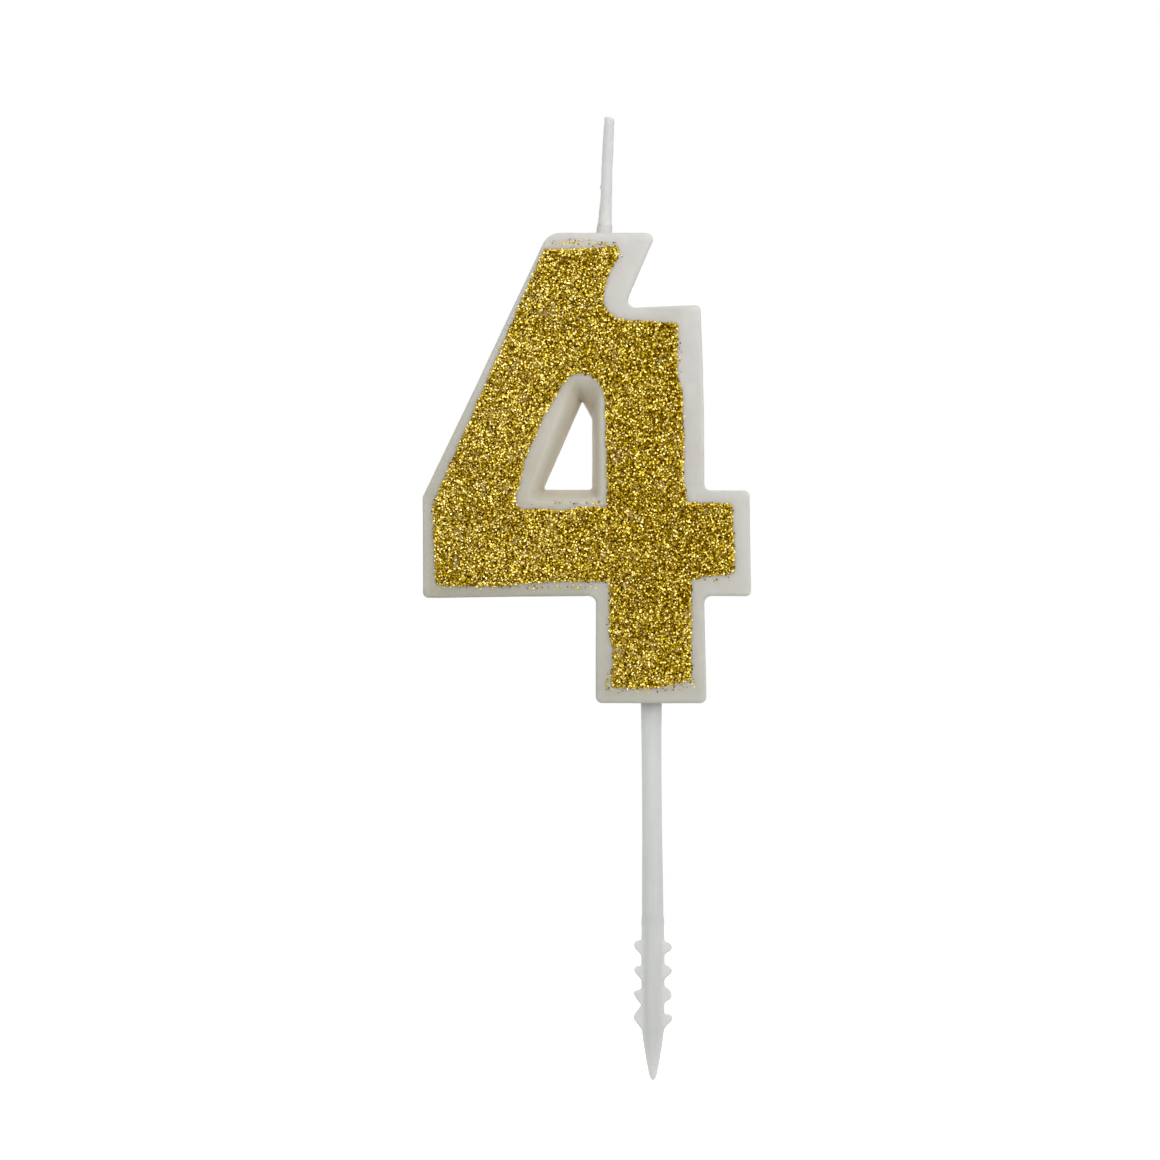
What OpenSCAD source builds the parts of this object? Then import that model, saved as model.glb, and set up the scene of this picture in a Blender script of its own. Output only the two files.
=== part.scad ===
// Number candle: a flat cast wax numeral 4 with a gold glitter front,
// a waxed cotton wick in its top edge and a barbed plastic pick in its foot.
//
// Frame: X to the right of the numeral, Z up, the glitter front faces -Y.
// The origin is on the pick's axis at the foot's underside, where the cake's
// surface lies once the pick is pushed fully in.

/* [Numeral] */
// Height of the wax numeral, foot to top edge
numeral_h = 70.3; // [66:0.1:74]
// Thickness of the wax, front to back
wax_t = 8; // [7:0.1:9]
// Width and depth of the soft rounding along the front edge
edge_r = 0.6; // [0.4:0.1:1]

/* [Glitter] */
// Thickness of the clear glue film under the glitter
film_t = 0.12; // [0.08:0.01:0.2]
// How far the glue film runs past the glitter
film_rim = 0.15; // [0.05:0.05:0.2]
// Thickness of the bed of flakes
bed_t = 0.32; // [0.2:0.02:0.4]
// Size of one flake across its corners
flake_d = 0.3; // [0.2:0.02:0.36]

/* [Wick] */
// Diameter of the waxed wick
wick_d = 1.56; // [1.4:0.02:1.8]
// Diameter of the cotton cord inside it
cord_d = 1; // [0.8:0.05:1.1]
// Length that stands above the top edge
wick_free = 17.4; // [14:0.1:22]
// Length cast into the wax
wick_embed = 18.5; // [12:0.5:19]
// Lean of the free length towards +X, in degrees
wick_lean = 2.5; // [0:0.5:6]

/* [Pick] */
// Length of the pick below the foot
pick_len = 56.7; // [52:0.1:62]
// Diameter of the round shaft just under the foot
shaft_d = 3.06; // [2.9:0.02:3.4]
// Width of the barbed section without its barbs
core_w = 3.5; // [3.2:0.02:3.7]
// Width across the tips of the barbs
barb_w = 5.6; // [4.6:0.1:6.4]
// Distance from one pair of barbs to the next
barb_pitch = 3.6; // [3:0.1:3.8]
// Length of the tang inside the foot
tang_len = 22; // [14:0.5:23]
// Gap between the tang and its socket, on each side
fit_gap = 0.06; // [0.04:0.01:0.1]

/* [Hidden] */

wax_col = [0.93, 0.92, 0.87];
pick_col = [0.93, 0.94, 0.93];
cord_col = [0.96, 0.95, 0.92];
film_col = [0.85, 0.74, 0.40];
gold_col = [0.76, 0.61, 0.20];

ks = numeral_h / 70.3;      // everything on the numeral's face follows its height
front = -wax_t / 2;         // Y of the glitter side
back = wax_t / 2;           // Y of the plain side
arc_n = 3;                  // straight pieces in each rounded corner

// Corners of the numeral's outline, anticlockwise seen from the front: [x, z, radius]
outer = [
    [-8.2, 0, 1.0], [8.15, 0, 1.0], [7.8, 16.05, 1.1], [14.8, 16.05, 0.8],
    [14.55, 31.75, 0.8], [7.75, 31.75, 1.0], [7.2, 59.5, 0.7], [-4.3, 59, 1.2],
    [0.5, 70.3, 0.95], [-15.4, 70.3, 3.0], [-34.1, 30.8, 1.5], [-34.1, 15.7, 0.9],
    [-8.2, 16.05, 1.1]];

// The counter at the front and at the back: it narrows towards the back
hole_front = [[-19.1, 29.9, 1.3], [-7.1, 29.9, 0.9], [-7.3, 48.8, 2.4], [-11.9, 48.8, 1.8]];
hole_back = [[-16.4, 31.9, 0.3], [-9.1, 31.9, 0.5], [-9.1, 42.4, 0.5], [-10.55, 45.1, 0.12]];
// How much each corner of the counter is dished rather than evenly sloped, in X and in Z
dish_x = [1, 0.8, 0.8, 1];
dish_z = [0.8, 0.8, 0.6, 0.6];

// Outline of the glitter print and of the gap it leaves around the counter
print_outer = [
    [-5.8, 2.35, 0.3], [-1.5, 2.3, 0.5], [1, 2.3, 0.5], [3.4, 3, 0.5], [6.1, 3.5, 0.3], [6.15, 18.5, 0.3],
    [8, 19, 0.5], [11.5, 19.3, 0.5], [12.65, 19.8, 0.4], [12.25, 29.85, 0.3], [5.5, 29.95, 0.3], [5.05, 33.2, 0.5],
    [4.85, 41, 0.5], [4.75, 46.8, 0.5], [4.05, 49, 0.5], [4, 53, 0.5], [4.15, 55.5, 0.5], [4.05, 56.8, 0.3],
    [1, 57.05, 0.5], [-2.5, 57.2, 0.5], [-5.2, 57.55, 1], [-7, 59.2, 1], [-7.15, 60.8, 0.8], [-6.65, 62.9, 1],
    [-5.75, 65.2, 0.6], [-4.95, 66.6, 0.4], [-4.7, 68.1, 0.3], [-10, 67.95, 0.5], [-15.9, 67.8, 0.4], [-32.6, 29.6, 0.6],
    [-32.15, 17.6, 1.2], [-22.5, 17.5, 0.5], [-19.5, 17.95, 0.5], [-11, 18.3, 0.5], [-6.1, 18.2, 0.3], [-6.05, 9.6, 0.4],
    [-5.55, 8, 0.4], [-5.6, 5, 0.5]];
print_hole = [
    [-20.45, 29, 1.3], [-12, 28.95, 0.4], [-10.5, 29.3, 0.4], [-6.45, 29.25, 0.4], [-6.45, 38, 3], [-7, 49.3, 3.6],
    [-12, 49.3, 2.4], [-15.5, 43.9, 3], [-18.9, 36.4, 3]];

// Where stray flakes lie on the wax margin: [x from, x to, z from, z to, how many]
stray_zones = [
    [-13.6, -5.4, 68.6, 69.2, 18], [-5.2, 2.6, 1.3, 1.8, 14], [3.6, 6.2, 1.9, 2.5, 6], [-6.9, -6.4, 2.2, 5.2, 7],
    [-25.5, -8.5, 16.85, 17.05, 16], [-15, -8.6, 29.66, 29.7, 12], [6.6, 6.9, 4, 14, 6], [5.45, 5.75, 34, 46, 7], [4.6, 4.8, 49.4, 54, 6]];

// Wick and pick stations
wick_x = -7.05 * ks;
top_z = numeral_h;
hinge_z = top_z + 1.6;
wick_r = wick_d / 2;
cord_r = cord_d / 2;
root_top = hinge_z - wick_r - 0.07;
root_bottom = top_z - wick_embed;
cast_gap = 0.01;

core_a = core_w / 2;        // half width of the barbed section
core_b = core_a * 0.9;      // half depth of the barbed section
barb_z = -pick_len + 20.6;  // upper end of the barbed section
tip_z = -pick_len + 7.8;    // where the point begins
tang_a = shaft_d / 2 - 0.05;
tang_b = tang_a * 0.9;

// ---- outline helpers ----
function unit(v) = v / norm(v);
function left(v) = [-v[1], v[0]];
function xz(p) = [p[0], p[1]];
function turn(u, v) = atan2(u[0] * v[1] - u[1] * v[0], u[0] * v[0] + u[1] * v[1]);
function spin(v, a) = [v[0] * cos(a) - v[1] * sin(a), v[0] * sin(a) + v[1] * cos(a)];
function scaled(c) = [for (p = c) [p[0] * ks, p[1] * ks, p[2]]];

// Moves every side of a closed outline inwards by d and keeps its corner radii concentric
function inset(c, d) = let (n = len(c)) [for (i = [0:n - 1])
    let (p = xz(c[i]),
         u = unit(p - xz(c[(i + n - 1) % n])),
         v = unit(xz(c[(i + 1) % n]) - p),
         m = (left(u) + left(v)) / (1 + left(u) * left(v)),
         r = turn(u, v) > 0 ? max(c[i][2] - d, 0.12) : max(c[i][2] + d, 0.12))
    [p[0] + m[0] * d, p[1] + m[1] * d, r]];

// Points of a closed outline with its corners rounded
function rounded(c) = let (n = len(c)) [for (i = [0:n - 1])
    let (p = xz(c[i]),
         u = unit(p - xz(c[(i + n - 1) % n])),
         v = unit(xz(c[(i + 1) % n]) - p),
         a = turn(u, v), r = c[i][2],
         s = p - u * r * tan(abs(a) / 2),
         o = s + left(u) * r * sign(a))
    for (k = [0:arc_n]) o + spin(s - o, a * k / arc_n)];

function at_depth(pts, t) = [for (p = pts) [p[0], front + t, p[1]]];

// Slab of an outline, from depth t0 to t1 behind the front face
module slab(pts, t0, t1)
    translate([0, front + t1, 0]) rotate([90, 0, 0]) linear_extrude(t1 - t0) polygon(pts);

// Skin through a list of point rings, each with the same number of points
function skin_faces(levels, n, closed) = [
    for (k = [0:levels - (closed ? 1 : 2)], i = [0:n - 1])
        let (a = k * n + i, b = k * n + (i + 1) % n,
             c = ((k + 1) % levels) * n + (i + 1) % n, d = ((k + 1) % levels) * n + i)
        each [[a, b, c], [a, c, d]]];

// ---- wax numeral ----
// Band outside the rounded front edge, taken off the slab: a closed ring of [inset, depth] stations
module edge_band(c) {
    e = edge_r;
    st = [[-0.25 * e, 2 * e], [0.15 * e, 0.5 * e], [0.5 * e, 0.15 * e], [1.7 * e, -0.36 * e], [-0.25 * e, -0.36 * e]];
    ring = [for (s = st) at_depth(rounded(inset(c, s[0])), s[1])];
    n = len(ring[0]);
    polyhedron(points = [for (r = ring) each r], faces = skin_faces(len(ring), n, true));
}

// Share of the way from the front outline of the counter to the back one, at depth t:
// a shallow dish that steepens, and an even slope with a soft lip
function dished(t) = 1 - pow(1 - pow(t / wax_t, 0.6), 2.4);
function sloped(t) = (t + 0.5 * (1 - exp(-t / 0.35))) / (wax_t + 0.5);
function share(t, k) = k * dished(t) + (1 - k) * sloped(t);
function counter_at(t) = let (f = scaled(hole_front), b = scaled(hole_back)) [for (i = [0:3])
    let (wx = share(t, dish_x[i]), wz = share(t, dish_z[i]))
    [f[i][0] + (b[i][0] - f[i][0]) * wx, f[i][1] + (b[i][1] - f[i][1]) * wz, f[i][2] + (b[i][2] - f[i][2]) * (wx + wz) / 2]];

// The counter: a soft lip at the front, then walls that close in towards the back
module counter() {
    depths = [0.12, 0.45, 1.1, 2.2, 4, 6, wax_t - 0.01];
    ring = concat([at_depth(rounded(inset(scaled(hole_front), -0.5)), -0.3)],
                  [for (t = depths) at_depth(rounded(counter_at(t)), t)],
                  [at_depth(rounded(scaled(hole_back)), wax_t + 0.5)]);
    n = len(ring[0]);
    m = len(ring);
    polyhedron(points = [for (r = ring) each r],
               faces = concat(skin_faces(m, n, false),
                              [[for (i = [n - 1:-1:0]) i], [for (i = [0:n - 1]) (m - 1) * n + i]]));
}

function diamond(a, b) = [[a, 0], [0.12 * a, 0.88 * b], [-0.12 * a, 0.88 * b], [-a, 0], [-0.12 * a, -0.88 * b], [0.12 * a, -0.88 * b]];

module wax_body() color(wax_col) difference() {
    slab(rounded(scaled(outer)), 0, wax_t);
    edge_band(scaled(outer));
    counter();
    // socket for the pick's tang
    translate([0, 0, -1]) linear_extrude(tang_len + 1.1) polygon(diamond(tang_a + fit_gap, tang_b + fit_gap));
    // bore that the wick was cast in
    translate([wick_x, 0, root_bottom]) cylinder(h = wick_embed + 2, r = wick_r + cast_gap, $fn = 48);
}

// ---- wick ----
module wick_core_root() color(cord_col)
    translate([wick_x, 0, root_bottom]) cylinder(h = root_top - root_bottom, r = cord_r, $fn = 48);

module wick_coat_root() color(wax_col) difference() {
    translate([wick_x, 0, root_bottom]) cylinder(h = root_top - root_bottom, r = wick_r, $fn = 48);
    translate([wick_x, 0, root_bottom - 1]) cylinder(h = root_top - root_bottom + 2, r = cord_r + cast_gap, $fn = 48);
}

// The free length turns about the point where it stands out of its seal
module at_hinge() translate([wick_x, 0, hinge_z]) rotate([0, wick_lean, 0]) children();

tip_len = top_z + wick_free - hinge_z;

module wick_core_tip() color(cord_col) at_hinge() cylinder(h = tip_len, r = cord_r, $fn = 48);

module wick_coat_tip() color(wax_col) at_hinge() difference() {
    union() {
        sphere(r = wick_r, $fn = 48);
        cylinder(h = tip_len - 0.25, r = wick_r, $fn = 48);
    }
    translate([0, 0, -cast_gap]) cylinder(h = tip_len + 1, r = cord_r + cast_gap, $fn = 48);
}

// Drop of wax around the wick on the top edge
module wick_seal() color(wax_col) translate([wick_x, 0, top_z]) rotate_extrude($fn = 64)
    polygon([[wick_r + cast_gap, 0], [wick_r + 0.6, 0], [wick_r + 0.35, 0.18], [wick_r + 0.15, 0.45],
             [wick_r + 0.06, 0.72], [wick_r + cast_gap, 0.72]]);

// ---- glitter front ----
module print_slab(rim, t0, t1) difference() {
    slab(rounded(inset(scaled(print_outer), -rim)), t0, t1);
    slab(rounded(inset(scaled(print_hole), rim)), t0 - 1, t1 + 1);
}

module glue_film() color(film_col) print_slab(film_rim, -film_t, 0);

module glitter_bed() color(gold_col) print_slab(0, -film_t - bed_t, -film_t);

// A repeatable scatter value from 0 to 1
function scatter(i, j) = let (v = sin(i * 127.1 + j * 311.7 + 17) * 43.7585) v - floor(v);

module stray_flakes() color(gold_col)
    for (z = [0:len(stray_zones) - 1], i = [0:stray_zones[z][4] - 1])
        let (q = stray_zones[z], n = q[4],
             wide = q[1] - q[0] > q[3] - q[2],
             s = (i + 0.5) / n, w = scatter(z, i),
             x = wide ? q[0] + (q[1] - q[0]) * s : q[0] + (q[1] - q[0]) * w,
             h = wide ? q[2] + (q[3] - q[2]) * w : q[2] + (q[3] - q[2]) * s)
        translate([x * ks, front, h * ks]) rotate([90, 60 * scatter(i, z), 0])
            cylinder(h = 0.06, d = flake_d, $fn = 6);

// ---- pick ----
// Round shaft: slightly waisted below the foot, fuller where the barbs start
module shaft() rotate_extrude($fn = 64) polygon([
    [0, -0.04], [shaft_d / 2, -0.04], [shaft_d / 2 - 0.08, -5], [shaft_d / 2 - 0.11, -12],
    [shaft_d / 2 - 0.08, -20], [shaft_d / 2 + 0.02, -28], [core_a - 0.02, barb_z], [core_a - 0.5, barb_z - 1], [0, barb_z - 1]]);

// One pair of barbs: flat on top, sloped below, with blunt tips
module barb_pair(z) translate([0, 0.6, z]) rotate([90, 0, 0]) linear_extrude(1.2) polygon([
    [-core_a + 0.5, 0.3], [-core_a, 0.05], [-barb_w / 2 + 0.3, -0.35], [-barb_w / 2, -0.6], [-barb_w / 2 + 0.2, -0.95], [-core_a, -1.95], [-core_a + 0.5, -2.3],
    [core_a - 0.5, -2.3], [core_a, -1.95], [barb_w / 2 - 0.2, -0.95], [barb_w / 2, -0.6], [barb_w / 2 - 0.3, -0.35], [core_a, 0.05], [core_a - 0.5, 0.3]]);

// Barbed section without its barbs, drawn in to the point below them
module barbed_core() {
    n = 6;
    ring = [[barb_z, 1], [tip_z, 1], [-pick_len + 1, 0.34], [-pick_len, 0.1]];
    m = len(ring);
    polyhedron(
        points = [for (s = ring) each [for (p = diamond(core_a * s[1], core_b * s[1])) [p[0], p[1], s[0]]]],
        faces = concat(skin_faces(m, n, false),
                       [[for (i = [n - 1:-1:0]) i], [for (i = [0:n - 1]) (m - 1) * n + i]]));
}

module pick() color(pick_col) union() {
    shaft();
    translate([0, 0, -1]) linear_extrude(tang_len + 1) polygon(diamond(tang_a, tang_b));
    barbed_core();
    for (i = [0:3]) barb_pair(barb_z + 0.1 - i * barb_pitch);
}

wax_body();
pick();
wick_core_root();
wick_coat_root();
wick_core_tip();
wick_coat_tip();
wick_seal();
glue_film();
glitter_bed();
stray_flakes();
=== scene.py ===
import math

import bpy
import bmesh
import numpy as np
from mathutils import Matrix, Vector, noise
from mathutils.geometry import delaunay_2d_cdt


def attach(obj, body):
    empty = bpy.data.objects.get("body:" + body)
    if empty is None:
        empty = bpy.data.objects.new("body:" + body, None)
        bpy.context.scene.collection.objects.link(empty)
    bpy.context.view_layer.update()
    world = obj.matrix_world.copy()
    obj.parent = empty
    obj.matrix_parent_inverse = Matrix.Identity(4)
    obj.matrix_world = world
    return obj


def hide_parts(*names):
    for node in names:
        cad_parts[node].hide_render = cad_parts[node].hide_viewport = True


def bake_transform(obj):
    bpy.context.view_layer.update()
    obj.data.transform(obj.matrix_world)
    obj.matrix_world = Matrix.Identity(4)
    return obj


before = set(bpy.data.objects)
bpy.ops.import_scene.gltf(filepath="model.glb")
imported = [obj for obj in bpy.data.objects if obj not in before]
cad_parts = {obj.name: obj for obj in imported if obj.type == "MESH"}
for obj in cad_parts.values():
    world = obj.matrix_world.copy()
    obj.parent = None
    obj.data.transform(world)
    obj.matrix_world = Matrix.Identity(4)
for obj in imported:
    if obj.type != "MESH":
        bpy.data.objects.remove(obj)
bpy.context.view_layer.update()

MM = 0.001
FRONT, BACK, THICK = -4.0, 4.0, 8.0
rng = np.random.default_rng(44)
noise.seed_set(53)

# ------------------------------------------------------------------ outlines, in mm: (x, z, corner radius)
OUTER = [
    (-8.2, 0, 1.0), (8.4, 0, 1.0), (8.05, 16.05, 1.1), (15.1, 16.05, 0.8),
    (14.85, 31.85, 0.8), (8.03, 31.85, 1.0), (7.48, 59.55, 0.7), (-4.05, 59.05, 1.2),
    (0.85, 70.35, 0.95), (-15.3, 70.35, 3.0), (-34.1, 30.8, 1.5), (-34.1, 15.7, 0.9),
    (-8.2, 16.05, 1.1)]
DRAFT = 0.28   # how far the sides draw in from front to back
HOLE_F = [(-19.1, 29.9, 1.3), (-7.1, 29.9, 0.9), (-7.3, 48.8, 2.4), (-11.9, 48.8, 1.8)]
HOLE_B = [(-16.4, 31.9, 0.3), (-9.1, 31.9, 0.5), (-9.1, 42.4, 0.5), (-10.55, 45.1, 0.12)]
PRINT = [
    (-5.8, 2.35, 0.3), (-1.5, 2.3, 0.5), (1.0, 2.3, 0.5), (3.4, 3.0, 0.5), (6.1, 3.5, 0.3), (6.15, 18.5, 0.3),
    (8.0, 19.0, 0.5), (11.5, 19.3, 0.5), (12.65, 19.8, 0.4), (12.25, 29.85, 0.3), (5.5, 29.95, 0.3), (5.05, 33.2, 0.5),
    (4.85, 41.0, 0.5), (4.75, 46.8, 0.5), (4.05, 49.0, 0.5), (4.0, 53.0, 0.5), (4.15, 55.5, 0.5), (4.05, 56.8, 0.3),
    (1.0, 57.05, 0.5), (-2.5, 57.2, 0.5), (-5.2, 57.55, 1.0), (-7.0, 59.2, 1.0), (-7.15, 60.8, 0.8), (-6.65, 62.9, 1.0),
    (-5.75, 65.2, 0.6), (-4.95, 66.6, 0.4), (-4.7, 68.1, 0.3), (-10.0, 67.95, 0.5), (-15.9, 67.8, 0.4), (-32.6, 29.6, 0.6),
    (-32.15, 17.6, 1.2), (-22.5, 17.5, 0.5), (-19.5, 17.95, 0.5), (-11.0, 18.3, 0.5), (-6.1, 18.2, 0.3), (-6.05, 9.6, 0.4),
    (-5.55, 8.0, 0.4), (-5.6, 5.0, 0.5)]
PRINT_HOLE = [
    (-20.45, 29.0, 1.3), (-12.0, 28.95, 0.4), (-10.5, 29.3, 0.4), (-6.45, 29.25, 0.4), (-6.45, 38.0, 3.0), (-7.0, 49.3, 3.6),
    (-12.0, 49.3, 2.4), (-15.5, 43.9, 3.0), (-18.9, 36.4, 3.0)]
DISH_X, DISH_Z = (1, 0.8, 0.8, 1), (0.8, 0.8, 0.6, 0.6)   # how much each corner of the counter is dished rather than evenly sloped
EDGE_R, BACK_R = 0.4, 0.45
WICK_X, TOP_Z, HINGE_Z = -7.05, 70.3, 71.9


def unit(v):
    return v / np.linalg.norm(v)


def left(v):
    return np.array([-v[1], v[0]])


def corners(c):
    n = len(c)
    for i in range(n):
        p = np.array(c[i][:2], float)
        yield p, unit(p - np.array(c[i - 1][:2])), unit(np.array(c[(i + 1) % n][:2]) - p), c[i][2]


def turn(u, v):
    return math.atan2(u[0] * v[1] - u[1] * v[0], float(u @ v))


def inset(c, d):
    out = []
    for p, u, v, r in corners(c):
        m = (left(u) + left(v)) / (1 + left(u) @ left(v))
        out.append((p[0] + m[0] * d, p[1] + m[1] * d, max(r - d if turn(u, v) > 0 else r + d, 0.12)))
    return out


def arcs_of(c, n):
    out = []
    for p, u, v, r in corners(c):
        a = turn(u, v)
        s = p - u * r * math.tan(abs(a) / 2)
        o = s + left(u) * r * math.copysign(1, a)
        w = s - o
        out.append([o + np.array([w[0] * math.cos(b) - w[1] * math.sin(b), w[0] * math.sin(b) + w[1] * math.cos(b)])
                    for b in (a * k / n for k in range(n + 1))])
    return out


def counts_for(c, n, step):
    a = arcs_of(c, n)
    return [max(1, round(float(np.linalg.norm(a[(i + 1) % len(a)][0] - a[i][-1])) / step)) for i in range(len(a))]


def ring(c, n, counts):
    a = arcs_of(c, n)
    pts = []
    for i, arc in enumerate(a):
        pts += arc
        nxt = a[(i + 1) % len(a)][0]
        pts += [arc[-1] + (nxt - arc[-1]) * k / counts[i] for k in range(1, counts[i])]
    return np.array(pts)


def inside(poly, pts):
    """Even-odd test of many points against one closed outline."""
    a, b = poly, np.roll(poly, -1, 0)
    res = np.zeros(len(pts), bool)
    for lo in range(0, len(pts), 4000):
        p = pts[lo:lo + 4000]
        cond = (a[None, :, 1] > p[:, None, 1]) != (b[None, :, 1] > p[:, None, 1])
        dz = b[:, 1] - a[:, 1]
        dz = np.where(np.abs(dz) < 1e-12, 1e-12, dz)
        xs = a[None, :, 0] + (p[:, None, 1] - a[None, :, 1]) / dz[None] * (b[:, 0] - a[:, 0])[None]
        res[lo:lo + 4000] = (cond & (p[:, None, 0] < xs)).sum(1) % 2 == 1
    return res


def distance(poly, pts):
    """Distance from many points to the nearest side of one closed outline."""
    a, b = poly, np.roll(poly, -1, 0)
    d = b - a
    l2 = np.maximum((d * d).sum(1), 1e-12)
    res = np.zeros(len(pts))
    for lo in range(0, len(pts), 3000):
        p = pts[lo:lo + 3000]
        w = p[:, None, :] - a[None]
        t = np.clip((w * d[None]).sum(2) / l2[None], 0, 1)
        res[lo:lo + 3000] = np.sqrt(((w - t[..., None] * d[None]) ** 2).sum(2).min(1))
    return res


def signed(poly, pts):
    return np.where(inside(poly, pts), 1, -1) * distance(poly, pts)


def fill(loops, extra):
    """Triangles inside loops[0] and outside the other loops, as indices into all their points followed by extra."""
    pts = np.concatenate(list(loops) + ([extra] if len(extra) else []))
    edges, at = [], 0
    for l in loops:
        n = len(l)
        edges += [(at + i, at + (i + 1) % n) for i in range(n)]
        at += n
    vs, _, fs, ov, _, _ = delaunay_2d_cdt([Vector(p) for p in pts], edges, [], 1, 1e-7)
    back = [o[0] if o else -1 for o in ov]
    tri = np.array([[back[i] for i in f] for f in fs if len(f) == 3])
    tri = tri[(tri >= 0).all(1)]
    mid = pts[tri].mean(1)
    keep = inside(loops[0], mid)
    for l in loops[1:]:
        keep &= ~inside(l, mid)
    return tri[keep].tolist()


def new_object(name, verts, faces, smooth=True, sharp=None, fix=True):
    me = bpy.data.meshes.new(name)
    me.from_pydata([tuple(float(x) * MM for x in v) for v in verts], [], [tuple(f) for f in faces])
    if fix:
        bm = bmesh.new()
        bm.from_mesh(me)
        bmesh.ops.recalc_face_normals(bm, faces=bm.faces)
        bm.to_mesh(me)
        bm.free()
    if smooth:
        me.shade_smooth()
        if sharp:
            me.set_sharp_from_angle(angle=math.radians(sharp))
    me.update()
    ob = bpy.data.objects.new(name, me)
    bpy.context.scene.collection.objects.link(ob)
    return ob


def apply_modifiers(ob):
    dg = bpy.context.evaluated_depsgraph_get()
    me = bpy.data.meshes.new_from_object(ob.evaluated_get(dg))
    ob.modifiers.clear()
    old, ob.data = ob.data, me
    bpy.data.meshes.remove(old)


def strips(faces, start, levels, n, closed=False):
    for k in range(levels if closed else levels - 1):
        a, b = start + k * n, start + ((k + 1) % levels) * n
        for i in range(n):
            j = (i + 1) % n
            faces.append((a + i, b + i, b + j, a + j))


def fbm(p, freq, octaves=3):
    v, amp, tot = 0.0, 1.0, 0.0
    q = Vector(p) * freq
    for _ in range(octaves):
        v += amp * noise.noise(q)
        tot += amp
        q = q * 2.03 + Vector((7.1, 3.3, 1.7))
        amp *= 0.5
    return v / tot


# ------------------------------------------------------------------ node helpers
def material(name):
    m = bpy.data.materials.new(name)
    m.use_nodes = True
    nt = m.node_tree
    return m, nt, nt.nodes["Principled BSDF"]


def node(nt, kind, **values):
    n = nt.nodes.new(kind)
    for k, v in values.items():
        if k in n.inputs:
            n.inputs[k].default_value = v
        else:
            setattr(n, k, v)
    return n


def ramp(nt, stops, interpolation="LINEAR"):
    r = nt.nodes.new("ShaderNodeValToRGB")
    r.color_ramp.interpolation = interpolation
    e = r.color_ramp.elements
    while len(e) < len(stops):
        e.new(0.5)
    for s, (pos, col) in zip(e, stops):
        s.position = pos
        s.color = (*col, 1) if len(col) == 3 else col
    return r


def position(nt):
    return nt.nodes.new("ShaderNodeTexCoord").outputs["Object"]


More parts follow.
